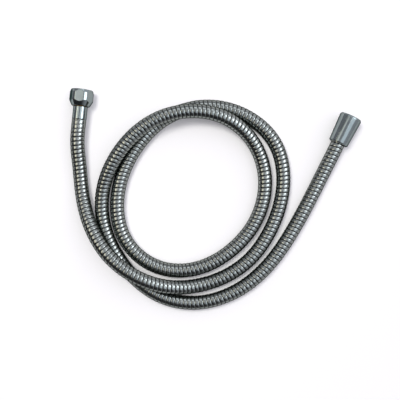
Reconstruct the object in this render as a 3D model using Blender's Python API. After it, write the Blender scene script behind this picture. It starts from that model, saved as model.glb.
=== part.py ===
"""A metal-jacketed shower hose, about 1.6 m long, lying in a loose coil on a table.

The hose is a strip-wound metal jacket over a PVC inner tube. Each end has a brass insert whose
barbed tail sits in the inner tube, a ferrule crimped round the tube, a loose nut that turns on
the insert, and a rubber washer. One nut is hexagonal and the other is a round, tapered grip nut.
"""
import math

import bpy
import bmesh
import numpy as np

MM = 0.001

# Gaps: between pieces that touch, and round pieces that slide or turn in each other
SEAT_GAP = 0.3 * MM
FIT_GAP = 0.4 * MM

# The hose. The bevel steps give the jacket 12 sides and the tube 10, so the gap round the tube
# is wider at its corners than at its flats.
JACKET_D = 14.6 * MM
JACKET_WALL = 1.1 * MM
JACKET_BEVEL_STEPS = 4
TUBE_CLEARANCE = 0.6 * MM
TUBE_WALL = 1.6 * MM
TUBE_BEVEL_STEPS = 3
HOSE_POINT_COUNT = 78

# Pipe thread of both nuts, G 1/2, as the plain bore that its crests leave
THREAD_CREST_D = 18.63 * MM
THREAD_LEAD_IN = 1.385 * MM
SEAT_DEPTH = 13.2 * MM

# The hexagonal nut, and its play along the insert
NUT_PLAY = 0.6 * MM
HEX_MOUTH_WALL = 0.55 * MM
HEX_CORNER_RISE = 0.85 * MM
HEX_LENGTH = 16.5 * MM
HEX_REAR_D = 18.4 * MM
HEX_REAR_CONE = 5.4 * MM
HEX_FRONT_RIM = 0.5 * MM
HEX_FRONT_CHAMFER = 2.0 * MM
HEX_CUTTER_OVERRUN = 4.0 * MM

# The tapered grip nut
GRIP_LENGTH = 30.0 * MM
GRIP_REAR_WALL = 1.4 * MM
GRIP_MOUTH_WALL = 0.8 * MM
GRIP_REAR_ROUND = 1.2 * MM
GRIP_FRONT_ROUND = 2.0 * MM
GRIP_FLARE_RISE = 1.0 * MM
GRIP_FLARE_DEPTH = 2.4 * MM
GRIP_RIM = 0.2 * MM

# The insert, the ferrule and the washer, alike at both ends
BARB_CLEARANCE = 0.6 * MM
BARB_COUNT = 4
BARB_HEIGHT = 0.3 * MM
BARB_CREST_SHARE = 0.85
TAIL_WALL = 0.4 * MM
TAIL_INSET = 1.0 * MM
WATERWAY_LEAD_IN = 0.8 * MM
FLANGE_THICKNESS = 2.0 * MM
NECK_D = 11.6 * MM
SHORT_NECK = 1.2 * MM
FERRULE_LENGTH = 13.0 * MM
FERRULE_FRONT_WALL = 1.5 * MM
FERRULE_CHAMFER = 0.4 * MM
WASHER_THICKNESS = 2.0 * MM
WASHER_BORE_D = 11.0 * MM
WASHER_EASE = 0.25 * MM

# Where each end lies, seen from above: the middle of the jacket's end, and the way it points,
# in degrees clockwise from +Y
HEX_END_XY = (-139.35 * MM, 82.7 * MM)
HEX_END_HEADING = math.radians(6.0)
HEX_END_STRAIGHT = 14.0 * MM
GRIP_END_XY = (127.0 * MM, 60.8 * MM)
GRIP_END_HEADING = math.radians(26.0)
GRIP_END_STRAIGHT = 8.0 * MM

# The route of the hose between its straight ends, in millimetres: down from the hexagonal nut,
# over the coil at the lower left, twice round, over the inner turn at the top, and up to the
# grip nut. The third number is the height of the hose's middle over the table.
ROUTE_MM = (
    (-139.7, 36.1, 8.1), (-136.1, 3.5, 8.7), (-126.3, -26.8, 16.7), (-109.1, -54.3, 21.4),
    (-83.7, -75.0, 22.2), (-53.6, -86.9, 17.2), (-22.0, -88.0, 9.0), (9.3, -78.6, 7.3),
    (36.2, -59.8, 7.3), (55.4, -33.2, 7.3), (67.2, -2.6, 7.3), (69.9, 30.1, 7.3),
    (60.1, 61.2, 7.3), (36.7, 83.8, 7.3), (6.1, 95.5, 7.3), (-26.6, 94.4, 7.3),
    (-56.3, 80.8, 7.3), (-79.3, 57.4, 7.3), (-94.8, 28.5, 7.3), (-101.0, -3.7, 7.3),
    (-94.9, -35.7, 7.3), (-74.0, -60.7, 7.3), (-43.5, -71.9, 7.3), (-11.1, -67.5, 7.3),
    (17.1, -50.8, 7.3), (38.7, -26.2, 7.3), (50.3, 4.4, 7.3), (49.1, 37.1, 7.4),
    (34.3, 65.8, 11.4), (8.5, 84.4, 18.5), (-23.5, 90.2, 21.7), (-55.5, 83.5, 22.4),
    (-82.9, 65.7, 20.3), (-103.2, 40.3, 16.1), (-115.1, 10.4, 9.7), (-115.1, -22.2, 7.3),
    (-103.4, -52.8, 7.3), (-83.6, -79.0, 7.3), (-57.0, -98.0, 7.3), (-25.2, -105.3, 7.3),
    (7.1, -99.7, 7.3), (35.9, -84.0, 7.3), (59.3, -61.0, 7.3), (78.0, -33.9, 7.3),
    (94.1, -5.2, 7.3), (109.0, 24.1, 7.4),
)

# Fineness: sides of the round pieces, steps of a rounded rim, and steps of the route's curve
FINE_SIDES = 48
SMALL_SIDES = 32
ROUND_STEPS = 4
STEPS_PER_SPAN = 60
SHARP_EDGE = math.radians(35.0)
MERGE_DISTANCE = 0.001 * MM

# Sizes that follow from the ones above: the hose, the thread and what passes through the nuts
JACKET_R = JACKET_D / 2
TUBE_R = JACKET_R - JACKET_WALL - TUBE_CLEARANCE
TUBE_BORE_R = TUBE_R - TUBE_WALL
CREST_R = THREAD_CREST_D / 2
MOUTH_R = CREST_R + THREAD_LEAD_IN
FLANGE_R = CREST_R - FIT_GAP
BARB_R = TUBE_BORE_R - BARB_CLEARANCE
BARB_ROOT_R = BARB_R - BARB_HEIGHT
WATERWAY_R = BARB_ROOT_R - TAIL_WALL
FERRULE_FRONT = SEAT_GAP + FERRULE_LENGTH
TUBE_REACH = FERRULE_FRONT - FERRULE_FRONT_WALL - SEAT_GAP

# The nuts' walls stand round their mouths, and the grip nut's rear end round the hose
HEX_FLAT_R = MOUTH_R + HEX_MOUTH_WALL
HEX_CORNER_R = HEX_FLAT_R + HEX_CORNER_RISE
GRIP_FRONT_R = MOUTH_R + GRIP_MOUTH_WALL
GRIP_BORE_R = JACKET_R + FIT_GAP
GRIP_FLARE_R = GRIP_BORE_R + GRIP_FLARE_RISE
GRIP_REAR_R = GRIP_FLARE_R + GRIP_REAR_WALL


class Stack:
    """Places along one end's axis, from the jacket's end face at 0 out to the nut's mouth."""

    def __init__(self, flange_back, nut_length):
        self.flange_back = flange_back
        self.flange_front = flange_back + FLANGE_THICKNESS
        self.washer_back = self.flange_front + SEAT_GAP
        self.washer_front = self.washer_back + WASHER_THICKNESS
        self.nut_seat = flange_back - SEAT_GAP
        self.nut_front = self.nut_seat + SEAT_DEPTH
        self.nut_back = self.nut_front - nut_length


HEX_REAR_WALL = HEX_LENGTH - SEAT_DEPTH
HEX_STACK = Stack(FERRULE_FRONT + NUT_PLAY + HEX_REAR_WALL + SEAT_GAP, HEX_LENGTH)
GRIP_STACK = Stack(FERRULE_FRONT + SEAT_GAP + SHORT_NECK, GRIP_LENGTH)

# The grip nut lies on its tapered side, so its axis rises towards its mouth
GRIP_TAPER_LENGTH = GRIP_LENGTH - GRIP_REAR_ROUND - GRIP_FRONT_ROUND
GRIP_PITCH = math.atan((GRIP_FRONT_R - GRIP_REAR_R) / GRIP_TAPER_LENGTH)


def clear_scene():
    for item in list(bpy.data.objects):
        bpy.data.objects.remove(item, do_unlink=True)


def finish(name, colour, roughness, metallic):
    """A Principled material of one plain finish."""
    material = bpy.data.materials.new(name)
    material.use_nodes = True
    shader = material.node_tree.nodes["Principled BSDF"]
    shader.inputs["Base Color"].default_value = (*colour, 1.0)
    shader.inputs["Roughness"].default_value = roughness
    shader.inputs["Metallic"].default_value = metallic
    return material


def add_object(name, data, material, parent=None):
    item = bpy.data.objects.new(name, data)
    item.data.materials.append(material)
    item.parent = parent
    bpy.context.collection.objects.link(item)
    return item


# Geometry of the two ends

def grip_axis_height(along):
    """Height of the grip nut's axis, at a distance from the jacket's end face towards the mouth."""
    from_taper_foot = along - GRIP_STACK.nut_back - GRIP_REAR_ROUND
    lying_radius = GRIP_REAR_R + from_taper_foot * math.tan(GRIP_PITCH)
    return lying_radius * math.cos(GRIP_PITCH)


def add_end_frame(name, position, heading, pitch):
    """An empty at the jacket's end face, with its Z axis along the fitting towards the mouth."""
    frame = bpy.data.objects.new(name, None)
    frame.location = position
    frame.rotation_euler = (pitch - math.pi / 2, 0.0, -heading)
    bpy.context.collection.objects.link(frame)
    return frame


def end_direction(heading, pitch):
    flat = math.cos(pitch)
    return np.array((math.sin(heading) * flat, math.cos(heading) * flat, math.sin(pitch)))


HEX_END = np.array((*HEX_END_XY, HEX_FLAT_R))
HEX_WAY = end_direction(HEX_END_HEADING, 0.0)
GRIP_END = np.array((*GRIP_END_XY, grip_axis_height(0.0)))
GRIP_WAY = end_direction(GRIP_END_HEADING, GRIP_PITCH)


# The hose

def smooth_curve(points, first_way, last_way, samples):
    """Cubic curve through the points with even bending, leaving and arriving along two given ways.

    The slopes at the points solve the usual three-term equations of a cubic spline, and the
    curve is read at even steps along its length.
    """
    count = len(points)
    spans = np.linalg.norm(np.diff(points, axis=0), axis=1)
    system = np.eye(count)
    slopes = np.zeros((count, 3))
    slopes[0] = first_way
    slopes[-1] = last_way
    for i in range(1, count - 1):
        before, after = spans[i - 1], spans[i]
        system[i, i - 1:i + 2] = (after, 2 * (before + after), before)
        step_in = (points[i] - points[i - 1]) / before
        step_out = (points[i + 1] - points[i]) / after
        slopes[i] = 3 * (after * step_in + before * step_out)
    slopes = np.linalg.solve(system, slopes)

    pieces = []
    t = np.linspace(0.0, 1.0, STEPS_PER_SPAN, endpoint=False)[:, None]
    for i, span in enumerate(spans):
        start, end = points[i], points[i + 1]
        rise = 3 * t ** 2 - 2 * t ** 3
        leave = (t ** 3 - 2 * t ** 2 + t) * span
        arrive = (t ** 3 - t ** 2) * span
        pieces.append(start + rise * (end - start) + leave * slopes[i] + arrive * slopes[i + 1])
    fine = np.vstack(pieces + [points[-1:]])
    along = np.concatenate(([0.0], np.cumsum(np.linalg.norm(np.diff(fine, axis=0), axis=1))))
    even = np.linspace(0.0, along[-1], samples)
    return np.stack([np.interp(even, along, fine[:, k]) for k in range(3)], axis=1)


def hose_centreline():
    """The middle of the hose from the hexagonal end to the grip end, never sinking into the table."""
    first = HEX_END - HEX_END_STRAIGHT * HEX_WAY
    last = GRIP_END - GRIP_END_STRAIGHT * GRIP_WAY
    route = np.vstack((first, np.array(ROUTE_MM) * MM, last))
    curve = smooth_curve(route, -HEX_WAY, GRIP_WAY, HOSE_POINT_COUNT)
    curve[:, 2] = np.maximum(curve[:, 2], JACKET_R)
    return curve


def add_hollow_hose(name, centreline, radius, wall, bevel_steps, material):
    """A round tube along the centreline: a bevelled curve, open at its ends, with a wall inwards."""
    curve = bpy.data.curves.new(name, "CURVE")
    curve.dimensions = "3D"
    curve.bevel_depth = radius
    curve.bevel_resolution = bevel_steps
    line = curve.splines.new("POLY")
    line.points.add(len(centreline) - 1)
    for point, place in zip(line.points, centreline):
        point.co = (*place, 1.0)
    line.use_smooth = True
    hose = add_object(name, curve, material)
    shell = hose.modifiers.new("wall", "SOLIDIFY")
    shell.thickness = wall
    shell.offset = -1.0
    shell.use_rim = True


def add_jacket(material):
    line = np.vstack((HEX_END, hose_centreline(), GRIP_END))
    add_hollow_hose("spiral_jacket", line, JACKET_R, JACKET_WALL, JACKET_BEVEL_STEPS, material)


def add_inner_tube(material):
    """The tube runs on past the jacket's ends, through each ferrule to its front wall."""
    line = np.vstack((
        HEX_END + TUBE_REACH * HEX_WAY,
        HEX_END,
        hose_centreline(),
        GRIP_END,
        GRIP_END + TUBE_REACH * GRIP_WAY,
    ))
    add_hollow_hose("inner_tube", line, TUBE_R, TUBE_WALL, TUBE_BEVEL_STEPS, material)


# Turned pieces

def arc(centre, radius, start, end):
    """Points of an arc in the (along, radius) plane of a turned section; angles in degrees."""
    along, out = centre
    points = []
    for i in range(ROUND_STEPS + 1):
        angle = math.radians(start + (end - start) * i / ROUND_STEPS)
        points.append((along + radius * math.cos(angle), out + radius * math.sin(angle)))
    return points


def turned_mesh(name, section, sides):
    """Spins a closed section, given as (along, radius) points, about the Z axis."""
    mesh = bpy.data.meshes.new(name)
    bm = bmesh.new()
    rim = [bm.verts.new((radius, 0.0, along)) for along, radius in section]
    edges = [bm.edges.new((rim[i - 1], rim[i])) for i in range(len(rim))]
    bmesh.ops.spin(
        bm,
        geom=rim + edges,
        cent=(0.0, 0.0, 0.0),
        axis=(0.0, 0.0, 1.0),
        angle=2 * math.pi,
        steps=sides,
        use_merge=True,
    )
    bmesh.ops.remove_doubles(bm, verts=bm.verts, dist=MERGE_DISTANCE)
    bmesh.ops.recalc_face_normals(bm, faces=bm.faces)
    bm.to_mesh(mesh)
    bm.free()
    mesh.shade_smooth()
    mesh.set_sharp_from_angle(angle=SHARP_EDGE)
    return mesh


def nut_bore(stack, rear_points):
    """The inside of a nut in (along, radius) points, from its mouth back to its rear face."""
    return [
        (stack.nut_front, MOUTH_R),
        (stack.nut_front - THREAD_LEAD_IN, CREST_R),
        (stack.nut_seat, CREST_R),
    ] + rear_points


def hex_nut_section():
    """Turned outline of the hexagonal nut: a long cone at the rear and a short one at the mouth."""
    stack = HEX_STACK
    neck_hole_r = NECK_D / 2 + FIT_GAP
    outside = [
        (stack.nut_back, HEX_REAR_D / 2),
        (stack.nut_back + HEX_REAR_CONE, HEX_CORNER_R),
        (stack.nut_front - HEX_FRONT_CHAMFER, HEX_CORNER_R),
        (stack.nut_front, MOUTH_R + HEX_FRONT_RIM),
    ]
    inside = nut_bore(stack, [(stack.nut_seat, neck_hole_r), (stack.nut_back, neck_hole_r)])
    return outside + inside


def hex_prism_mesh(name):
    """A hexagonal prism round the nut's axis, with a flat facing the table."""
    corner_r = HEX_FLAT_R / math.cos(math.pi / 6)
    back = HEX_STACK.nut_back - HEX_CUTTER_OVERRUN
    length = HEX_LENGTH + 2 * HEX_CUTTER_OVERRUN
    mesh = bpy.data.meshes.new(name)
    bm = bmesh.new()
    corners = []
    for i in range(6):
        angle = i * math.pi / 3
        corners.append(bm.verts.new((corner_r * math.cos(angle), corner_r * math.sin(angle), back)))
    base = bm.faces.new(corners)
    grown = bmesh.ops.extrude_face_region(bm, geom=[base])["geom"]
    top = [item for item in grown if isinstance(item, bmesh.types.BMVert)]
    bmesh.ops.translate(bm, verts=top, vec=(0.0, 0.0, length))
    bmesh.ops.recalc_face_normals(bm, faces=bm.faces)
    bm.to_mesh(mesh)
    bm.free()
    return mesh


def add_hex_nut(frame, material):
    """A turned blank cut to six flats, one of them down on the table."""
    blank = turned_mesh("hex_nut", hex_nut_section(), FINE_SIDES)
    nut = add_object("hex_nut", blank, material, frame)
    flats = add_object("hex_flats", hex_prism_mesh("hex_flats"), material, frame)
    flats.hide_render = True
    flats.display_type = "WIRE"
    cut = nut.modifiers.new("flats", "BOOLEAN")
    cut.operation = "INTERSECT"
    cut.solver = "EXACT"
    cut.object = flats


def grip_nut_section():
    """Turned outline of the grip nut: a slow taper with both rims rounded, open at the rear."""
    stack = GRIP_STACK
    rear_centre = (stack.nut_back + GRIP_REAR_ROUND, GRIP_REAR_R - GRIP_REAR_ROUND)
    front_centre = (stack.nut_front - GRIP_FRONT_ROUND, GRIP_FRONT_R - GRIP_FRONT_ROUND)
    rim_rise = (GRIP_FRONT_ROUND - GRIP_MOUTH_WALL + GRIP_RIM) / GRIP_FRONT_ROUND
    rim_angle = math.degrees(math.asin(rim_rise))
    outside = arc(rear_centre, GRIP_REAR_ROUND, 180, 90)
    outside += arc(front_centre, GRIP_FRONT_ROUND, 90, rim_angle)
    rear = [
        (stack.nut_seat, GRIP_BORE_R),
        (stack.nut_back + GRIP_FLARE_DEPTH, GRIP_BORE_R),
        (stack.nut_back, GRIP_FLARE_R),
    ]
    return outside + nut_bore(stack, rear)


def add_grip_nut(frame, material):
    add_object("grip_nut", turned_mesh("grip_nut", grip_nut_section(), FINE_SIDES), material, frame)


def insert_section(stack):
    """A barbed tail with the waterway through it, a neck, and the flange that the nut pulls on."""
    tail_tip = SEAT_GAP + TAIL_INSET
    barb_pitch = (TUBE_REACH - tail_tip) / BARB_COUNT
    points = [(tail_tip, WATERWAY_R)]
    for i in range(BARB_COUNT):
        start = tail_tip + i * barb_pitch
        crest = start + BARB_CREST_SHARE * barb_pitch
        points += [(start, BARB_ROOT_R), (crest, BARB_R), (crest, BARB_ROOT_R)]
    shoulder = FERRULE_FRONT + SEAT_GAP
    points += [
        (shoulder, BARB_ROOT_R),
        (shoulder, NECK_D / 2),
        (stack.flange_back, NECK_D / 2),
        (stack.flange_back, FLANGE_R),
        (stack.flange_front, FLANGE_R),
        (stack.flange_front, WATERWAY_R + WATERWAY_LEAD_IN),
        (stack.flange_front - WATERWAY_LEAD_IN, WATERWAY_R),
    ]
    return points


def add_insert(name, stack, frame, material):
    add_object(name, turned_mesh(name, insert_section(stack), SMALL_SIDES), material, frame)


def add_ferrule(name, frame, material):
    """A plain sleeve, flush with the jacket, with a front wall that hooks behind the insert's neck."""
    bore_r = TUBE_R + FIT_GAP
    hole_r = BARB_R + FIT_GAP
    wall_back = FERRULE_FRONT - FERRULE_FRONT_WALL
    section = [
        (SEAT_GAP, JACKET_R - FERRULE_CHAMFER),
        (SEAT_GAP + FERRULE_CHAMFER, JACKET_R),
        (FERRULE_FRONT - FERRULE_CHAMFER, JACKET_R),
        (FERRULE_FRONT, JACKET_R - FERRULE_CHAMFER),
        (FERRULE_FRONT, hole_r),
        (wall_back, hole_r),
        (wall_back, bore_r),
        (SEAT_GAP, bore_r),
    ]
    add_object(name, turned_mesh(name, section, FINE_SIDES), material, frame)


def add_washer(name, stack, frame, material):
    """A flat rubber ring, as wide as the insert's flange, with its outer edges eased."""
    section = [
        (stack.washer_back, WASHER_BORE_D / 2),
        (stack.washer_back, FLANGE_R - WASHER_EASE),
        (stack.washer_back + WASHER_EASE, FLANGE_R),
        (stack.washer_front - WASHER_EASE, FLANGE_R),
        (stack.washer_front, FLANGE_R - WASHER_EASE),
        (stack.washer_front, WASHER_BORE_D / 2),
    ]
    add_object(name, turned_mesh(name, section, SMALL_SIDES), material, frame)


def build():
    clear_scene()
    steel = finish("polished_steel", (0.52, 0.54, 0.53), 0.18, 1.0)
    chrome = finish("chromed_brass", (0.60, 0.63, 0.64), 0.08, 1.0)
    brass = finish("brass", (0.72, 0.52, 0.22), 0.3, 1.0)
    rubber = finish("black_rubber", (0.02, 0.02, 0.02), 0.7, 0.0)
    pvc = finish("clear_pvc", (0.80, 0.82, 0.80), 0.35, 0.0)

    add_jacket(steel)
    add_inner_tube(pvc)

    hex_frame = add_end_frame("hex_end", HEX_END, HEX_END_HEADING, 0.0)
    add_ferrule("hex_end_ferrule", hex_frame, chrome)
    add_insert("hex_end_insert", HEX_STACK, hex_frame, brass)
    add_hex_nut(hex_frame, chrome)
    add_washer("hex_end_washer", HEX_STACK, hex_frame, rubber)

    grip_frame = add_end_frame("grip_end", GRIP_END, GRIP_END_HEADING, GRIP_PITCH)
    add_ferrule("grip_end_ferrule", grip_frame, chrome)
    add_insert("grip_end_insert", GRIP_STACK, grip_frame, brass)
    add_grip_nut(grip_frame, chrome)
    add_washer("grip_end_washer", GRIP_STACK, grip_frame, rubber)


build()
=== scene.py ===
"""A metal-jacketed shower hose in a loose coil on a sheet of white paper, seen from above."""
import math

import bmesh
import bpy
import numpy as np
from mathutils import Matrix


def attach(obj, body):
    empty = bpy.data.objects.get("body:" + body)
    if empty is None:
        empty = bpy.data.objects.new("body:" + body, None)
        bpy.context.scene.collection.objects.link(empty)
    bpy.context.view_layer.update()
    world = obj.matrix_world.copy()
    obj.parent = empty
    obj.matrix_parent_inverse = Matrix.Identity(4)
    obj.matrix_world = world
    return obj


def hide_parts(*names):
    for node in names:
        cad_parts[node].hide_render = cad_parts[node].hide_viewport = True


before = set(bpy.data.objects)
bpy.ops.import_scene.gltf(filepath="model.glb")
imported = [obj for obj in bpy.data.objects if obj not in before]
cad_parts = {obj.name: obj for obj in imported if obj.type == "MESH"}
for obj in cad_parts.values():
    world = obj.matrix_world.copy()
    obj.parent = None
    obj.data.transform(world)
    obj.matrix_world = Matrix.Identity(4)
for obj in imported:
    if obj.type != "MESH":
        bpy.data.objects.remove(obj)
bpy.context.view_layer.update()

scene = bpy.context.scene
scene.view_settings.view_transform = "Standard"
MM = 0.001


# Camera
# It hangs 0.67 m over the table and looks straight down, a little left of the coil's middle, so
# each fitting shows some of the side that faces the middle.

camera_data = bpy.data.cameras.new("camera")
camera_data.sensor_width = 36.0
camera_data.lens = 57.9
camera = bpy.data.objects.new("camera", camera_data)
camera.location = (-15.6 * MM, 0.5 * MM, 670.0 * MM)
scene.collection.objects.link(camera)
scene.camera = camera


# Route of the hose
# The hose leaves the hexagonal nut, crosses the coil at the lower left, goes round twice, crosses
# its own inner turn at the top, and ends in the grip nut. It lies on the table but for two humps.

ROUTE = np.array((
    (-139.7, 36.1, 8.1), (-136.1, 3.5, 8.7), (-126.3, -26.8, 16.7), (-109.1, -54.3, 21.4),
    (-83.7, -75.0, 22.2), (-53.6, -86.9, 17.2), (-22.0, -88.0, 9.0), (9.3, -78.6, 7.3),
    (36.2, -59.8, 7.3), (55.4, -33.2, 7.3), (67.2, -2.6, 7.3), (69.9, 30.1, 7.3),
    (60.1, 61.2, 7.3), (36.7, 83.8, 7.3), (6.1, 95.5, 7.3), (-26.6, 94.4, 7.3),
    (-56.3, 80.8, 7.3), (-79.3, 57.4, 7.3), (-94.8, 28.5, 7.3), (-101.0, -3.7, 7.3),
    (-94.9, -35.7, 7.3), (-74.0, -60.7, 7.3), (-43.5, -71.9, 7.3), (-11.1, -67.5, 7.3),
    (17.1, -50.8, 7.3), (38.7, -26.2, 7.3), (50.3, 4.4, 7.3), (49.1, 37.1, 7.4),
    (34.3, 65.8, 11.4), (8.5, 84.4, 18.5), (-23.5, 90.2, 21.7), (-55.5, 83.5, 22.4),
    (-82.9, 65.7, 20.3), (-103.2, 40.3, 16.1), (-115.1, 10.4, 9.7), (-115.1, -22.2, 7.3),
    (-103.4, -52.8, 7.3), (-83.6, -79.0, 7.3), (-57.0, -98.0, 7.3), (-25.2, -105.3, 7.3),
    (7.1, -99.7, 7.3), (35.9, -84.0, 7.3), (59.3, -61.0, 7.3), (78.0, -33.9, 7.3),
    (94.1, -5.2, 7.3), (109.0, 24.1, 7.4),
)) * MM
JACKET_R = 7.3 * MM
UP = np.array((0.0, 0.0, 1.0))
POINTS_PER_SPAN = 60
ROUTE_SAMPLES = 3000


def unit(vectors):
    """The same vectors, each divided by its length."""
    return vectors / np.linalg.norm(vectors, axis=-1, keepdims=True)


def end_way(heading, pitch):
    """Direction of an end's axis: degrees clockwise from +Y, and degrees up from the table."""
    heading, pitch = math.radians(heading), math.radians(pitch)
    flat = math.cos(pitch)
    return np.array((math.sin(heading) * flat, math.cos(heading) * flat, math.sin(pitch)))


# Each end: the middle of the jacket's end face, and the way the fitting points
HEX_END = np.array((-139.35, 82.7, 11.25)) * MM
HEX_WAY = end_way(6.0, 0.0)
GRIP_END = np.array((127.0, 60.8, 10.144)) * MM
GRIP_WAY = end_way(26.0, 2.9904)
# Behind each end the hose runs straight for a while
HEX_LEAD = 14.0 * MM
GRIP_LEAD = 8.0 * MM
LEAD_STEP = 0.5 * MM


def smooth_curve(points, first_way, last_way, samples):
    """Cubic spline through the points, with its two end slopes given, read at even steps.

    The slopes m solve after*m[i-1] + 2(before+after)*m[i] + before*m[i+1] = 3(after*step in +
    before*step out), where before and after are the distances to the two neighbours.
    """
    spans = np.linalg.norm(np.diff(points, axis=0), axis=1)
    steps = np.diff(points, axis=0) / spans[:, None]
    before, after = spans[:-1], spans[1:]
    inner = np.arange(1, len(points) - 1)
    system = np.eye(len(points))
    system[inner, inner - 1] = after
    system[inner, inner] = 2 * (before + after)
    system[inner, inner + 1] = before
    slopes = np.vstack((
        first_way,
        3 * (after[:, None] * steps[:-1] + before[:, None] * steps[1:]),
        last_way,
    ))
    slopes = np.linalg.solve(system, slopes)
    t = np.linspace(0.0, 1.0, POINTS_PER_SPAN, endpoint=False)[None, :, None]
    start, end = points[:-1, None], points[1:, None]
    fine = (
        start + (3 * t**2 - 2 * t**3) * (end - start)
        + (t**3 - 2 * t**2 + t) * spans[:, None, None] * slopes[:-1, None]
        + (t**3 - t**2) * spans[:, None, None] * slopes[1:, None]
    )
    fine = np.vstack((fine.reshape(-1, 3), points[-1:]))
    along = np.concatenate(([0.0], np.cumsum(np.linalg.norm(np.diff(fine, axis=0), axis=1))))
    even = np.linspace(0.0, along[-1], samples)
    return np.stack([np.interp(even, along, fine[:, k]) for k in range(3)], axis=1)


hex_lead = HEX_END - HEX_LEAD * HEX_WAY
grip_lead = GRIP_END - GRIP_LEAD * GRIP_WAY
stops = np.vstack((hex_lead, ROUTE, grip_lead))
centreline = smooth_curve(stops, -HEX_WAY, GRIP_WAY, ROUTE_SAMPLES)
centreline[:, 2] = np.maximum(centreline[:, 2], JACKET_R)
centreline = np.vstack((
    np.linspace(HEX_END, hex_lead, round(HEX_LEAD / LEAD_STEP), endpoint=False),
    centreline,
    np.linspace(grip_lead, GRIP_END, round(GRIP_LEAD / LEAD_STEP) + 1)[1:],
))
run = np.concatenate(([0.0], np.cumsum(np.linalg.norm(np.diff(centreline, axis=0), axis=1))))
hose_length = run[-1]
heading = unit(np.gradient(centreline, run, axis=0))


# Jacket
# A thin strip of bright stainless steel, rolled to a rounded section and wound in a long spiral
# so that each turn hooks into the one before. It covers the hose from ferrule to ferrule.

TURN_PITCH = 4.2 * MM
BEAD_DEPTH = 0.75 * MM
BEAD_POWER = 3.2
CRIMPED_LENGTH = 16.0 * MM
CRIMPED_SHARE = 0.25
TURN_ERROR = 0.05 * MM
JACKET_WALL = 1.1 * MM
# A point this near a groove, in turns, counts to the turn after it
GROOVE_EDGE = 1e-6
# Two arbitrary numbers that scatter the turns' tones
TONE_STEP = 12.9898
TONE_SPREAD = 43758.5453
MERGE_GAP = 0.002 * MM
turn_count = round(hose_length / TURN_PITCH)
turn_pitch = hose_length / turn_count


def place_on_hose(along, angle, radius):
    """Points at a distance along the hose, an angle round it and a radius from its middle.

    A point is middle + radius * (cos a * side + sin a * top), where side is level.
    """
    middle = np.stack([np.interp(along, run, centreline[:, k]) for k in range(3)], axis=-1)
    way = unit(np.stack([np.interp(along, run, heading[:, k]) for k in range(3)], axis=-1))
    side = unit(np.cross(UP, way))
    top = np.cross(way, side)
    turned = np.cos(angle)[..., None] * side + np.sin(angle)[..., None] * top
    return middle + radius[..., None] * turned


def bead_drop(phase):
    """How far a turn's section falls below its crest, as a share of the depth.

    The section is half a squarish oval, |across|^power + height^power = 1, where across runs
    from -1 at one groove to 1 at the next.
    """
    across = np.abs(2 * (phase % 1.0) - 1)
    return 1 - np.clip(1 - across**BEAD_POWER, 0.0, 1.0) ** (1 / BEAD_POWER)


def turn_tone(turn):
    """A steady number from 0 to 1 for each turn of the strip, as no two are rolled quite alike.

    It is what stands after the point of sin(turn * step) * spread.
    """
    return (np.sin(turn * TONE_STEP) * TONE_SPREAD) % 1.0


def jacket_radius(along, around):
    """The wound outside's radius: the crest's, less the bead's drop and the turn's own error.

    The bead grows to its full depth over the first turns, which are pressed flat at the
    hexagonal end's ferrule. Also gives the drop as a share of the full depth.
    """
    phase = along / turn_pitch - around
    drop = bead_drop(phase)
    pressed = np.clip(along / CRIMPED_LENGTH, CRIMPED_SHARE, 1.0)
    error = TURN_ERROR * turn_tone(np.floor(phase + GROOVE_EDGE)) * (1 - drop)
    return JACKET_R - BEAD_DEPTH * pressed * drop - error, drop * pressed


def grid_faces(rows, columns):
    """Corner numbers of the quads of a grid that is stored row by row."""
    first = (np.arange(rows - 1)[:, None] * columns + np.arange(columns - 1)).ravel()
    return np.stack((first, first + 1, first + columns + 1, first + columns), axis=1)


def make_piece(name, sheets, material):
    """One closed mesh of several grids of points, with a UV map and a groove attribute.

    Each sheet is (points, u, v, groove), all on one grid of rows and columns. Points that meet
    are merged, which closes the seams.
    """
    points, faces, uvs, grooves, count = [], [], [], [], 0
    for place, u, v, groove in sheets:
        rows, columns = place.shape[:2]
        corners = grid_faces(rows, columns)
        points.append(place.reshape(-1, 3))
        uvs.append(np.stack((u.ravel(), v.ravel()), axis=1)[corners.ravel()])
        grooves.append(groove.ravel())
        faces.append(corners + count)
        count += rows * columns
    faces = np.vstack(faces)
    mesh = bpy.data.meshes.new(name)
    mesh.from_pydata(np.vstack(points), [], faces)
    mesh.uv_layers.new(name="UVMap").data.foreach_set("uv", np.vstack(uvs).ravel())
    groove_values = mesh.attributes.new("groove", "FLOAT", "POINT").data
    groove_values.foreach_set("value", np.concatenate(grooves))
    tidy = bmesh.new()
    tidy.from_mesh(mesh)
    bmesh.ops.remove_doubles(tidy, verts=tidy.verts, dist=MERGE_GAP)
    bmesh.ops.dissolve_degenerate(tidy, edges=tidy.edges, dist=MERGE_GAP)
    bmesh.ops.recalc_face_normals(tidy, faces=tidy.faces)
    tidy.to_mesh(mesh)
    tidy.free()
    mesh.shade_smooth()
    mesh.materials.append(material)
    piece = bpy.data.objects.new(name, mesh)
    scene.collection.objects.link(piece)
    return piece


def linear(code):
    """An sRGB hex colour as linear red, green, blue and a full alpha."""
    srgb = np.array([int(code[i:i + 2], 16) for i in (0, 2, 4)]) / 255
    low = srgb <= 0.04045
    return (*np.where(low, srgb / 12.92, ((srgb + 0.055) / 1.055) ** 2.4), 1.0)


def add_node(tree, kind, settings, inputs):
    """Adds a node: its settings, and its inputs as plain values or other nodes' outputs."""
    node = tree.nodes.new(kind)
    for name, value in settings.items():
        setattr(node, name, value)
    for name, value in inputs.items():
        if isinstance(value, bpy.types.NodeSocket):
            tree.links.new(value, node.inputs[name])
        else:
            node.inputs[name].default_value = value
    return node


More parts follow.
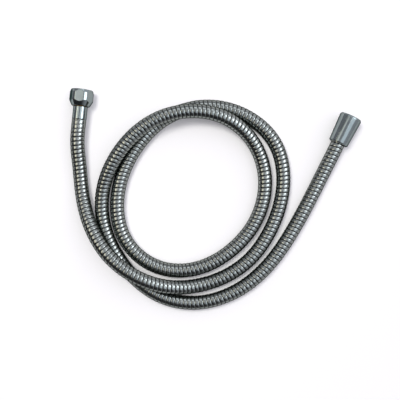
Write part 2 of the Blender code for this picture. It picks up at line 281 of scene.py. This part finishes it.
def new_material(name, metallic):
    """An empty node material with its Principled shader, which the caller then dresses."""
    material = bpy.data.materials.new(name)
    material.use_nodes = True
    shader = material.node_tree.nodes["Principled BSDF"]
    shader.inputs["Metallic"].default_value = metallic
    return material, material.node_tree, shader


# Bright-rolled stainless strip: bright on the crests with fine lines along the strip, and dull in the
# grooves, where polish doesn't reach. The grooves' dark colour is painted shade.
wound_steel, tree, shader = new_material("bright_rolled_stainless", 1.0)
groove = add_node(tree, "ShaderNodeAttribute", {"attribute_name": "groove"}, {})
uv = add_node(tree, "ShaderNodeUVMap", {"uv_map": "UVMap"}, {})
place = add_node(tree, "ShaderNodeTexCoord", {}, {})
groove_shade_and_dullness = add_node(tree, "ShaderNodeMapRange", {"interpolation_type": "SMOOTHSTEP"}, {
    "Value": groove.outputs["Fac"], "From Min": 0.04, "From Max": 0.38,
})
# Patches of slightly unlike polish, 9 mm across
patches = add_node(tree, "ShaderNodeTexNoise", {}, {
    "Vector": place.outputs["Object"], "Scale": 1 / (9 * MM), "Detail": 3.0,
})
crest_colour = add_node(tree, "ShaderNodeMix", {"data_type": "RGBA"}, {
    0: patches.outputs["Fac"], 6: linear("838884"), 7: linear("959995"),
})
# The dark colour in the grooves is painted shade between the turns, not the strip's own colour
colour_with_groove_shade = add_node(tree, "ShaderNodeMix", {"data_type": "RGBA"}, {
    0: groove_shade_and_dullness.outputs["Result"], 6: crest_colour.outputs[2], 7: linear("3A3B37"),
})
strip_roughness = add_node(tree, "ShaderNodeMapRange", {}, {
    "Value": groove_shade_and_dullness.outputs["Result"], "To Min": 0.2, "To Max": 0.42,
})
# Rolling lines 0.3 mm apart run along the strip, which is round the hose
line_place = add_node(tree, "ShaderNodeMapping", {}, {
    "Vector": uv.outputs["UV"], "Scale": (6.0, 1 / (0.3 * MM), 1.0),
})
lines = add_node(tree, "ShaderNodeTexNoise", {}, {
    "Vector": line_place.outputs["Vector"], "Scale": 1.0, "Detail": 2.0,
})
line_bump = add_node(tree, "ShaderNodeBump", {}, {
    "Height": lines.outputs["Fac"], "Strength": 0.15, "Distance": 0.02 * MM,
})
tree.links.new(colour_with_groove_shade.outputs[2], shader.inputs["Base Color"])
tree.links.new(strip_roughness.outputs["Result"], shader.inputs["Roughness"])
shader.inputs["Specular Tint"].default_value = linear("303030")
tree.links.new(line_bump.outputs["Normal"], shader.inputs["Normal"])

# The grid's rows follow the strip, so the grooves stay sharp all the way round
ACROSS = np.array((-1.0, -0.97, -0.8, -0.45, 0.0, 0.45, 0.8, 0.97))
COLUMNS = 28
WALL_ROWS = 190
turns = (np.arange(-1, turn_count + 1)[:, None] + (ACROSS + 1) / 2).ravel()
turns = np.append(turns, turn_count + 1.0)
around = np.linspace(0.0, 1.0, COLUMNS + 1)
along = np.clip((turns[:, None] + around) * turn_pitch, 0.0, hose_length)
angle = np.broadcast_to(around * 2 * math.pi, along.shape)
radius, drop = jacket_radius(along, around)
outside = (
    place_on_hose(along, angle, radius),
    np.broadcast_to(around, along.shape),
    along,
    drop,
)

# The inside is a plain wall, closed to the wound outside by a flat ring at each end
wall_along = np.linspace(0.0, hose_length, WALL_ROWS)
wall_along = np.concatenate(([0.0], wall_along, [hose_length]))[:, None] + 0 * around
wall_angle = np.broadcast_to(around * 2 * math.pi, wall_along.shape)
wall_radius = np.full(wall_along.shape, JACKET_R - JACKET_WALL)
wall_radius[[0, -1]] = jacket_radius(wall_along, around)[0][[0, -1]]
# A groove value of 1 paints the whole inside in the grooves' painted shade
inside = (
    place_on_hose(wall_along, wall_angle, wall_radius),
    np.broadcast_to(around, wall_along.shape),
    wall_along,
    np.ones(wall_along.shape),
)
jacket = make_piece("wound_jacket", [outside, inside], wound_steel)
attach(jacket, "hose")
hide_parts("spiral_jacket")


# Ferrules
# Each is a short sleeve of chromed brass, pressed over the end of the inner tube and flush with
# the jacket. Its front wall hooks behind the insert's neck.

SEAT_GAP = 0.3 * MM
FERRULE_LENGTH = 13.0 * MM
FERRULE_FRONT = SEAT_GAP + FERRULE_LENGTH
HOOK_THICKNESS = 1.5 * MM
SLEEVE_PLAY = 0.4 * MM
OUTER_EASE = 0.5 * MM
INNER_EASE = 0.1 * MM
TUBE_R = 5.6 * MM
BARB_R = 3.4 * MM
# An eased corner takes up at most this share of an edge, and the point that keeps the flat
# beyond it flat lies this many easing lengths from the corner
EASE_LIMIT = 0.3
FLAT_POINT = 1.5


def rounded_outline(corners, radius, steps=4):
    """A closed outline of (along, radius) corners, each corner eased by a short parabola.

    The parabola starts and ends one easing length from the corner, or EASE_LIMIT of an edge that
    is short, and a further point on each edge keeps the flat beyond it flat in smooth shading.
    """
    corners = np.asarray(corners, dtype=float)
    to_last = np.roll(corners, 1, axis=0) - corners
    to_next = np.roll(corners, -1, axis=0) - corners
    edge_last = np.linalg.norm(to_last, axis=1, keepdims=True)
    edge_next = np.linalg.norm(to_next, axis=1, keepdims=True)
    ease = np.asarray(radius, dtype=float).reshape(-1, 1) * np.ones((len(corners), 1))
    start = to_last / edge_last * np.minimum(ease, EASE_LIMIT * edge_last)
    end = to_next / edge_next * np.minimum(ease, EASE_LIMIT * edge_next)
    t = np.linspace(0.0, 1.0, steps + 1)[None, :, None]
    curve = corners[:, None] + (1 - t) ** 2 * start[:, None] + t**2 * end[:, None]
    flat_before = corners[:, None] + FLAT_POINT * start[:, None]
    flat_after = corners[:, None] + FLAT_POINT * end[:, None]
    return np.concatenate((flat_before, curve, flat_after), axis=1).reshape(-1, 2)


def turned_sheet(outline, end, way, columns=96, reshape=None):
    """A lathe-turned closed skin: the outline carried round an end's axis as one grid.

    A point is end + way * along + radius * (cos a * side + sin a * top). reshape may change the
    radius at each (along, radius, angle), for a nut's flats or its thread.
    """
    outline = np.vstack((outline, outline[:1]))
    turn = np.linspace(0.0, 1.0, columns + 1)
    along = outline[:, :1] + 0 * turn
    radius = outline[:, 1:2] + 0 * turn
    angle = turn * 2 * math.pi + 0 * along
    if reshape is not None:
        radius = reshape(along, radius, angle)
    side = unit(np.cross(UP, way))
    top = np.cross(way, side)
    spread = np.cos(angle)[..., None] * side + np.sin(angle)[..., None] * top
    points = end + along[..., None] * way + radius[..., None] * spread
    walk = np.linalg.norm(np.diff(outline, axis=0), axis=1)
    travel = np.concatenate(([0.0], np.cumsum(walk)))[:, None] + 0 * turn
    return points, turn + 0 * along, travel, np.zeros(along.shape)


# Nickel and chrome plate over polished brass: a near-mirror, slightly cool, with faint turning
# lines under the plate and a haze of fingermarks and dried water.
chrome_plate, tree, shader = new_material("chrome_plate", 1.0)
uv = add_node(tree, "ShaderNodeUVMap", {"uv_map": "UVMap"}, {})
place = add_node(tree, "ShaderNodeTexCoord", {}, {})
# Fingermarks and dried drops, 6 mm across
haze = add_node(tree, "ShaderNodeTexNoise", {}, {
    "Vector": place.outputs["Object"], "Scale": 1 / (6 * MM), "Detail": 4.0,
})
haze_amount = add_node(tree, "ShaderNodeMapRange", {}, {
    "Value": haze.outputs["Fac"], "From Min": 0.35, "From Max": 0.7, "To Min": 0.1, "To Max": 0.2,
})
plate_colour = add_node(tree, "ShaderNodeMix", {"data_type": "RGBA"}, {
    0: haze.outputs["Fac"], 6: linear("7E8887"), 7: linear("909897"),
})
# Turning lines 0.25 mm apart run round the piece
line_place = add_node(tree, "ShaderNodeMapping", {}, {
    "Vector": uv.outputs["UV"], "Scale": (2.0, 1 / (0.25 * MM), 1.0),
})
lines = add_node(tree, "ShaderNodeTexNoise", {}, {
    "Vector": line_place.outputs["Vector"], "Scale": 1.0, "Detail": 2.0,
})
line_bump = add_node(tree, "ShaderNodeBump", {}, {
    "Height": lines.outputs["Fac"], "Strength": 0.08, "Distance": 0.01 * MM,
})
tree.links.new(plate_colour.outputs[2], shader.inputs["Base Color"])
tree.links.new(haze_amount.outputs["Result"], shader.inputs["Roughness"])
shader.inputs["Specular Tint"].default_value = linear("383838")
tree.links.new(line_bump.outputs["Normal"], shader.inputs["Normal"])

ferrule_outline = rounded_outline((
    (SEAT_GAP, JACKET_R),
    (FERRULE_FRONT, JACKET_R),
    (FERRULE_FRONT, BARB_R + SLEEVE_PLAY),
    (FERRULE_FRONT - HOOK_THICKNESS, BARB_R + SLEEVE_PLAY),
    (FERRULE_FRONT - HOOK_THICKNESS, TUBE_R + SLEEVE_PLAY),
    (SEAT_GAP, TUBE_R + SLEEVE_PLAY),
), (OUTER_EASE, OUTER_EASE, INNER_EASE, INNER_EASE, INNER_EASE, INNER_EASE))
for name, end, way in (("hex_end", HEX_END, HEX_WAY), ("grip_end", GRIP_END, GRIP_WAY)):
    ferrule = make_piece(f"{name}_sleeve", [turned_sheet(ferrule_outline, end, way)], chrome_plate)
    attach(ferrule, "hose")
    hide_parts(f"{name}_ferrule")


# Inner tube
# The water runs in a flexible PVC tube inside the jacket. It is pushed over the inserts' barbs
# and doesn't show, so the plain solid stays and only gets its finish.

# Plasticised PVC, extruded: soft, milky and slightly glossy, with faint cloudiness from the melt.
soft_pvc, tree, shader = new_material("extruded_soft_pvc", 0.0)
place = add_node(tree, "ShaderNodeTexCoord", {}, {})
clouds = add_node(tree, "ShaderNodeTexNoise", {}, {
    "Vector": place.outputs["Object"], "Scale": 1 / (5 * MM), "Detail": 3.0,
})
tube_colour = add_node(tree, "ShaderNodeMix", {"data_type": "RGBA"}, {
    0: clouds.outputs["Fac"], 6: linear("D5D8D2"), 7: linear("E4E6E1"),
})
tree.links.new(tube_colour.outputs[2], shader.inputs["Base Color"])
shader.inputs["Roughness"].default_value = 0.3
shader.inputs["IOR"].default_value = 1.53
tube_mesh = bpy.data.objects["inner_tube"].data
tube_mesh.materials.clear()
tube_mesh.materials.append(soft_pvc)


# Inserts
# Each is turned from brass bar: a barbed tail that holds in the tube, a neck, and a flange that
# the nut draws on. The water runs through its middle.

FLANGE_R = 8.915 * MM
NECK_R = 5.8 * MM
WATERWAY_R = 2.7 * MM
FLARE_DEPTH = 0.8 * MM
BARBS = 4
BARB_FALL = 0.3 * MM
BARB_RISE_SHARE = 0.85
INSERT_EASE = 0.15 * MM
TAIL_TIP = SEAT_GAP + 1.0 * MM
TUBE_REACH = FERRULE_FRONT - HOOK_THICKNESS - SEAT_GAP
FLANGE_THICKNESS = 2.0 * MM
# From the back of the flange to where the waterway widens
FLARE_START = 1.2 * MM
FLANGE_BACK = {"hex_end": 17.5 * MM, "grip_end": 14.8 * MM}

# Free-cutting brass, turned and left bare: satin, browned a little by water, with tool lines
# 0.2 mm apart.
turned_brass, tree, shader = new_material("turned_brass", 1.0)
uv = add_node(tree, "ShaderNodeUVMap", {"uv_map": "UVMap"}, {})
line_place = add_node(tree, "ShaderNodeMapping", {}, {
    "Vector": uv.outputs["UV"], "Scale": (2.0, 1 / (0.2 * MM), 1.0),
})
lines = add_node(tree, "ShaderNodeTexNoise", {}, {
    "Vector": line_place.outputs["Vector"], "Scale": 1.0, "Detail": 2.0,
})
brass_colour = add_node(tree, "ShaderNodeMix", {"data_type": "RGBA"}, {
    0: lines.outputs["Fac"], 6: linear("8F6F3A"), 7: linear("AE8D50"),
})
line_bump = add_node(tree, "ShaderNodeBump", {}, {
    "Height": lines.outputs["Fac"], "Strength": 0.3, "Distance": 0.02 * MM,
})
tree.links.new(brass_colour.outputs[2], shader.inputs["Base Color"])
shader.inputs["Roughness"].default_value = 0.28
tree.links.new(line_bump.outputs["Normal"], shader.inputs["Normal"])

barb_pitch = (TUBE_REACH - TAIL_TIP) / BARBS
barb_starts = TAIL_TIP + barb_pitch * np.arange(BARBS)
barb_root = np.stack((barb_starts, np.full(BARBS, BARB_R - BARB_FALL)), axis=1)
barb_crest = np.stack((barb_starts + BARB_RISE_SHARE * barb_pitch, np.full(BARBS, BARB_R)), axis=1)
barb_fall = barb_crest - np.array((0.0, BARB_FALL))
barbs = np.stack((barb_root, barb_crest, barb_fall), axis=1).reshape(-1, 2)
for name, end, way in (("hex_end", HEX_END, HEX_WAY), ("grip_end", GRIP_END, GRIP_WAY)):
    shoulder, back = FERRULE_FRONT + SEAT_GAP, FLANGE_BACK[name]
    insert_outline = rounded_outline(np.vstack((
        ((TAIL_TIP, WATERWAY_R),),
        barbs,
        (
            (shoulder, BARB_R - BARB_FALL),
            (shoulder, NECK_R),
            (back, NECK_R),
            (back, FLANGE_R),
            (back + FLANGE_THICKNESS, FLANGE_R),
            (back + FLANGE_THICKNESS, WATERWAY_R + FLARE_DEPTH),
            (back + FLARE_START, WATERWAY_R),
        ),
    )), INSERT_EASE)
    insert = make_piece(f"{name}_nipple", [turned_sheet(insert_outline, end, way)], turned_brass)
    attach(insert, "hose")
    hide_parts(f"{name}_insert")


# Washers
# A flat ring of moulded black nitrile rubber for each nut. It lies loose on the insert's flange,
# where the pipe's end squeezes it tight.

# Moulded nitrile rubber: near black, dull, with a fine grain and a dusty bloom.
washer_rubber, tree, shader = new_material("moulded_nitrile_rubber", 0.0)
place = add_node(tree, "ShaderNodeTexCoord", {}, {})
bloom = add_node(tree, "ShaderNodeTexNoise", {}, {
    "Vector": place.outputs["Object"], "Scale": 1 / (3 * MM), "Detail": 5.0,
})
rubber_colour = add_node(tree, "ShaderNodeMix", {"data_type": "RGBA"}, {
    0: bloom.outputs["Fac"], 6: linear("191919"), 7: linear("343432"),
})
grain = add_node(tree, "ShaderNodeTexNoise", {}, {
    "Vector": place.outputs["Object"], "Scale": 1 / (0.25 * MM), "Detail": 2.0,
})
grain_bump = add_node(tree, "ShaderNodeBump", {}, {
    "Height": grain.outputs["Fac"], "Strength": 0.4, "Distance": 0.04 * MM,
})
tree.links.new(rubber_colour.outputs[2], shader.inputs["Base Color"])
shader.inputs["Roughness"].default_value = 0.62
tree.links.new(grain_bump.outputs["Normal"], shader.inputs["Normal"])

WASHER_BODY = {"hex_end": "hex_coupling", "grip_end": "grip_coupling"}
# From the back of the insert's flange: its thickness and the seat gap
WASHER_SEAT = 2.3 * MM
WASHER_THICKNESS = 2.0 * MM
WASHER_HOLE_R = 5.5 * MM
WASHER_EASE = 0.3 * MM
for name, end, way in (("hex_end", HEX_END, HEX_WAY), ("grip_end", GRIP_END, GRIP_WAY)):
    washer_back = FLANGE_BACK[name] + WASHER_SEAT
    washer_outline = rounded_outline((
        (washer_back, WASHER_HOLE_R),
        (washer_back, FLANGE_R),
        (washer_back + WASHER_THICKNESS, FLANGE_R),
        (washer_back + WASHER_THICKNESS, WASHER_HOLE_R),
    ), WASHER_EASE)
    washer = make_piece(f"{name}_seal", [turned_sheet(washer_outline, end, way)], washer_rubber)
    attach(washer, WASHER_BODY[name])
    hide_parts(f"{name}_washer")


# Hexagonal nut
# Turned from hexagonal brass bar and chromed: both ends are chamfered over the corners, and the
# bore has a G 1/2 pipe thread. It turns on the insert's neck, behind the flange.

HEX_FLAT_R = 11.25 * MM
HEX_CORNER_R = 12.1 * MM
MOUTH_R = 10.7 * MM
CREST_R = 9.315 * MM
THREAD_DEPTH = 1.16 * MM
THREAD_PITCH = 25.4 * MM / 14
# From the back of the insert's flange to the first thread
THREAD_SETBACK = 4.6 * MM
THREAD_LEAD_IN = 0.2 * MM
# The thread fades out at the mouth over this share of its pitch
THREAD_RUN_OUT = 0.3
ROWS_PER_THREAD = 12
# How near the crest's radius a point lies that belongs to the bore
BORE_TOLERANCE = 0.01 * MM
# From the nut's inner shoulder to its mouth
NUT_REACH = 13.2 * MM
HEX_NUT_LENGTH = 16.5 * MM
HEX_HOLE_R = 6.2 * MM
HEX_REAR_R = 9.2 * MM
HEX_FRONT_R = 10.95 * MM
REAR_CHAMFER = 5.4 * MM
FRONT_CHAMFER = 3.0 * MM
REAR_SLOPE = (HEX_CORNER_R - HEX_REAR_R) / REAR_CHAMFER
FRONT_SLOPE = (HEX_CORNER_R - HEX_FRONT_R) / FRONT_CHAMFER
CORNER_EASE = 0.08 * MM
FLAT_EASE = 0.05 * MM
NUT_EASE = 0.2 * MM
MILLED_ROW_STEP = 0.25 * MM
# Only what stands this far outside the thread's crest is milled
MILLED_FROM = 0.3 * MM
HEX_COLUMNS = 240


def close_rows(outline, step):
    """The same outline with more points, so that no two neighbours are further apart than step."""
    outline = np.vstack((outline, outline[:1]))
    travel = np.concatenate(([0.0], np.cumsum(np.linalg.norm(np.diff(outline, axis=0), axis=1))))
    rows = np.union1d(travel, np.arange(0.0, travel[-1], step))[:-1]
    return np.stack([np.interp(rows, travel, outline[:, k]) for k in range(2)], axis=1)


def smaller(a, b, ease):
    """The lesser of two radii, with the edge where they meet eased.

    It is min - ease * ln(1 + e^(-gap / ease)), where gap is how far apart the two are.
    """
    return np.minimum(a, b) - ease * np.log1p(np.exp(-np.abs(a - b) / ease))


def with_thread_rows(outline, front, back):
    """The outline with the bore's points, from lead-in to washer, drawn anew at twelve a thread."""
    along, radius = outline.T
    in_bore = (np.abs(radius - CREST_R) < BORE_TOLERANCE) & (along < front) & (along > back)
    count = int(ROWS_PER_THREAD * (front - back) / THREAD_PITCH)
    row_along = np.linspace(front - THREAD_LEAD_IN, back, count)
    rows = np.stack((row_along, np.full(count, CREST_R)), axis=1)
    first = np.nonzero(in_bore)[0][0]
    return np.vstack((outline[:first][~in_bore[:first]], rows, outline[first:][~in_bore[first:]]))


def cut_thread(along, radius, angle, front, back):
    """Lets the thread's valleys into the bore: a right-hand spiral wave, faded out at both ends.

    A valley's share of the depth is half of 1 + cos(2 pi * (along / pitch - turns round)).
    """
    in_bore = (along <= front) & (along >= back) & (np.abs(radius - CREST_R) < BORE_TOLERANCE)
    from_back = np.clip((along - back) / THREAD_PITCH, 0, 1)
    from_front = np.clip((front - along) / (THREAD_RUN_OUT * THREAD_PITCH), 0, 1)
    fade = from_back * from_front
    wave = 0.5 + 0.5 * np.cos(2 * math.pi * (along / THREAD_PITCH - angle / (2 * math.pi)))
    return radius + in_bore * fade * wave * THREAD_DEPTH


nut_seat = FLANGE_BACK["hex_end"] - SEAT_GAP
nut_front = nut_seat + NUT_REACH
nut_back = nut_front - HEX_NUT_LENGTH
thread_front = nut_front - (MOUTH_R - CREST_R)
thread_back = FLANGE_BACK["hex_end"] + THREAD_SETBACK
# The blank is turned a little wider than the corners, so the cones run out past them
spare = 0.25 * MM
hex_outside = close_rows(rounded_outline((
    (nut_seat, HEX_HOLE_R),
    (nut_back, HEX_HOLE_R),
    (nut_back, HEX_REAR_R),
    (nut_back + REAR_CHAMFER + spare / REAR_SLOPE, HEX_CORNER_R + spare),
    (nut_front - FRONT_CHAMFER - spare / FRONT_SLOPE, HEX_CORNER_R + spare),
    (nut_front, HEX_FRONT_R),
    (nut_front, MOUTH_R),
    (thread_front, CREST_R),
    (nut_seat, CREST_R),
), NUT_EASE), MILLED_ROW_STEP)


def shape_hex_nut(along, radius, angle):
    """Mills six flats into the turned blank, one of them up, and cuts the thread.

    A flat's radius is its middle's, divided by the cosine of the angle from its middle.
    """
    from_flat = (angle - math.pi / 2 + math.pi / 6) % (math.pi / 3) - math.pi / 6
    flat = HEX_FLAT_R / np.cos(from_flat)
    milled = smaller(smaller(radius, HEX_CORNER_R, CORNER_EASE), flat, FLAT_EASE)
    body = np.where(radius > CREST_R + MILLED_FROM, milled, radius)
    return cut_thread(along, body, angle, thread_front, thread_back)


hex_outline = with_thread_rows(hex_outside, thread_front, thread_back)
hex_skin = turned_sheet(hex_outline, HEX_END, HEX_WAY, HEX_COLUMNS, shape_hex_nut)
hex_nut = make_piece("hexagonal_nut", [hex_skin], chrome_plate)
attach(hex_nut, "hex_coupling")
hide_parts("hex_nut")


# Grip nut
# A long round nut, cut from brass on a lathe and chromed, that widens slowly to its mouth. It
# turns and slides on the ferrule, and draws on the insert's flange. Its bore is flared at the
# rear, over the hose.

GRIP_BORE_R = 7.7 * MM
GRIP_REAR_R = 10.1 * MM
GRIP_FRONT_R = 11.5 * MM
REAR_ROUND = 1.2 * MM
FRONT_ROUND = 2.0 * MM
# Where the front round ends, in degrees from the nut's axis. A bevel joins it to the mouth.
FRONT_ROUND_END = 44.4
GRIP_NUT_LENGTH = 30.0 * MM
REAR_FLARE_LENGTH = 2.4 * MM
REAR_FLARE_R = 8.7 * MM
GRIP_ROW_STEP = 0.5 * MM
GRIP_COLUMNS = 160
ARC_POINTS = 12


def arc(centre, radius, start, end):
    """Points on a circle in the (along, radius) plane, between two angles in degrees."""
    angle = np.radians(np.linspace(start, end, ARC_POINTS))
    return np.array(centre) + radius * np.stack((np.cos(angle), np.sin(angle)), axis=1)


nut_seat = FLANGE_BACK["grip_end"] - SEAT_GAP
nut_front = nut_seat + NUT_REACH
nut_back = nut_front - GRIP_NUT_LENGTH
thread_front = nut_front - (MOUTH_R - CREST_R)
thread_back = FLANGE_BACK["grip_end"] + THREAD_SETBACK
grip_bore = rounded_outline((
    (nut_front, MOUTH_R),
    (thread_front, CREST_R),
    (nut_seat, CREST_R),
    (nut_seat, GRIP_BORE_R),
    (nut_back + REAR_FLARE_LENGTH, GRIP_BORE_R),
    (nut_back, REAR_FLARE_R),
), NUT_EASE)
grip_outside = close_rows(np.vstack((
    grip_bore[3:],
    arc((nut_back + REAR_ROUND, GRIP_REAR_R - REAR_ROUND), REAR_ROUND, 180, 90),
    arc((nut_front - FRONT_ROUND, GRIP_FRONT_R - FRONT_ROUND), FRONT_ROUND, 90, FRONT_ROUND_END),
    grip_bore[:3],
)), GRIP_ROW_STEP)
grip_outline = with_thread_rows(grip_outside, thread_front, thread_back)


def shape_grip_nut(along, radius, angle):
    """Cuts the thread in the turned bore."""
    return cut_thread(along, radius, angle, thread_front, thread_back)


grip_skin = turned_sheet(grip_outline, GRIP_END, GRIP_WAY, GRIP_COLUMNS, shape_grip_nut)
grip_nut = make_piece("tapered_grip_nut", [grip_skin], chrome_plate)
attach(grip_nut, "grip_coupling")
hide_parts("grip_nut")


# Table
# A sheet of white studio paper, wide enough to reach past every view.

PAPER_GLOW = 0.14
TABLE_REACH = 3.0
TABLE_DROP = 0.02 * MM

# Matt white studio paper. What the camera and the metal see of it glows a little, so that it is
# white in the picture, and it lights nothing.
paper, tree, shader = new_material("white_studio_paper", 0.0)
tree.nodes.remove(shader)
rays = add_node(tree, "ShaderNodeLightPath", {}, {})
camera_or_glossy = add_node(tree, "ShaderNodeMath", {"operation": "ADD"}, {
    0: rays.outputs["Is Camera Ray"], 1: rays.outputs["Is Glossy Ray"],
})
seen = add_node(tree, "ShaderNodeMath", {"operation": "ADD", "use_clamp": True}, {
    0: camera_or_glossy.outputs[0], 1: rays.outputs["Is Transmission Ray"],
})
glow = add_node(tree, "ShaderNodeMath", {"operation": "MULTIPLY"}, {
    0: seen.outputs[0], 1: PAPER_GLOW,
})
paper_light = add_node(tree, "ShaderNodeEmission", {}, {
    "Color": linear("FFFFFF"), "Strength": glow.outputs[0],
})
paper_face = add_node(tree, "ShaderNodeBsdfDiffuse", {}, {"Color": linear("F6F6F6")})
paper_sum = add_node(tree, "ShaderNodeAddShader", {}, {
    0: paper_light.outputs[0], 1: paper_face.outputs[0],
})
tree.links.new(paper_sum.outputs[0], tree.nodes["Material Output"].inputs["Surface"])
table_mesh = bpy.data.meshes.new("table")
square = ((-1, -1), (1, -1), (1, 1), (-1, 1))
table_corners = [(x * TABLE_REACH, y * TABLE_REACH, 0.0) for x, y in square]
table_mesh.from_pydata(table_corners, [], [(0, 1, 2, 3)])
table_mesh.materials.append(paper)
table = bpy.data.objects.new("table", table_mesh)
table.location = (0.0, 0.0, -TABLE_DROP)
scene.collection.objects.link(table)


# Light
# A soft box at the upper left throws the shadows, and a wide fill box softens them. The window
# at the right, the cards at the far side, left, near right and top, and the strip at the left
# show only as reflections. The room's far and right walls and its ceiling are dimly lit.

# A lamp that faces down more squarely than this takes the picture's up for its own
SQUARE_DOWN = 0.99


def add_soft_box(name, place, facing, size, radiance, colour, diffuse=True, glossy=True):
    """A flat lamp at a place, turned to face another.

    Its power is radiance * pi * area, so the radiance is how bright its face looks.
    """
    lamp = bpy.data.lights.new(name, "AREA")
    lamp.shape = "RECTANGLE"
    lamp.size, lamp.size_y = size
    lamp.color = linear(colour)[:3]
    lamp.energy = radiance * math.pi * size[0] * size[1]
    item = bpy.data.objects.new(name, lamp)
    back = unit(np.subtract(place, facing))
    across = unit(np.cross(UP if back[2] < SQUARE_DOWN else (0.0, 1.0, 0.0), back))
    item.location = place
    item.rotation_mode = "QUATERNION"
    turned = np.stack((across, np.cross(back, across), back), axis=1)
    item.rotation_quaternion = Matrix(turned.tolist()).to_quaternion()
    item.visible_camera = False
    item.visible_diffuse = diffuse
    item.visible_glossy = glossy
    scene.collection.objects.link(item)


add_soft_box("shadow_box", (-0.5, 0.45, 1.9), (0, 0, 0), (0.62, 0.62), 16.6, "FFFDF8", glossy=False)
add_soft_box("fill_box", (0.7, -0.1, 2.1), (0.7, -0.1, 0.0), (2.6, 3.0), 0.3, "F6ECFA", glossy=False)
add_soft_box("far_card", (0.2, 1.8, 1.6), (0.2, 1.8, 0.0), (2.0, 1.2), 1.5, "F6FAFF", diffuse=False)
add_soft_box("window", (0.9, 0.27, 0.92), (0, 0, 0), (0.66, 0.62), 5.3, "F2F8FF", diffuse=False)
add_soft_box("left_card", (-0.76, 0.05, 1.17), (0, 0, 0), (0.8, 0.95), 1.15, "FAF6EC", diffuse=False)
add_soft_box("left_strip", (-0.85, 0.03, 0.92), (0, 0, 0), (0.8, 0.2), 2.5, "FFF0D0", diffuse=False)
add_soft_box("right_card", (0.6, -0.42, 1.26), (0, 0, 0), (0.9, 0.9), 1.1, "E8F2FF", diffuse=False)
add_soft_box("top_card", (0.45, 0.12, 1.5), (0.14, 0.08, 0.0), (0.3, 0.4), 1.7, "F6FAFF", diffuse=False)

world = bpy.data.worlds.new("room")
scene.world = world
world.use_nodes = True
tree = world.node_tree
place = add_node(tree, "ShaderNodeTexCoord", {}, {})
split = add_node(tree, "ShaderNodeSeparateXYZ", {}, {"Vector": place.outputs["Generated"]})
far_wall = add_node(tree, "ShaderNodeMapRange", {"interpolation_type": "SMOOTHSTEP"}, {
    "Value": split.outputs["Y"], "From Min": -0.3, "From Max": 0.6, "To Min": 0.05, "To Max": 0.5,
})
right_wall = add_node(tree, "ShaderNodeMapRange", {"interpolation_type": "SMOOTHSTEP"}, {
    "Value": split.outputs["X"], "From Min": 0.05, "From Max": 0.8, "To Min": 0.0, "To Max": 0.7,
})
overhead = add_node(tree, "ShaderNodeMapRange", {"interpolation_type": "SMOOTHSTEP"}, {
    "Value": split.outputs["Z"], "From Min": 0.7, "From Max": 1.0, "To Min": 0.0, "To Max": 0.45,
})
walls = add_node(tree, "ShaderNodeMath", {"operation": "ADD"}, {
    0: far_wall.outputs["Result"], 1: right_wall.outputs["Result"],
})
room = add_node(tree, "ShaderNodeMath", {"operation": "ADD"}, {
    0: walls.outputs[0], 1: overhead.outputs["Result"],
})
tree.links.new(room.outputs[0], tree.nodes["Background"].inputs["Strength"])
tree.nodes["Background"].inputs["Color"].default_value = linear("EEEEFA")
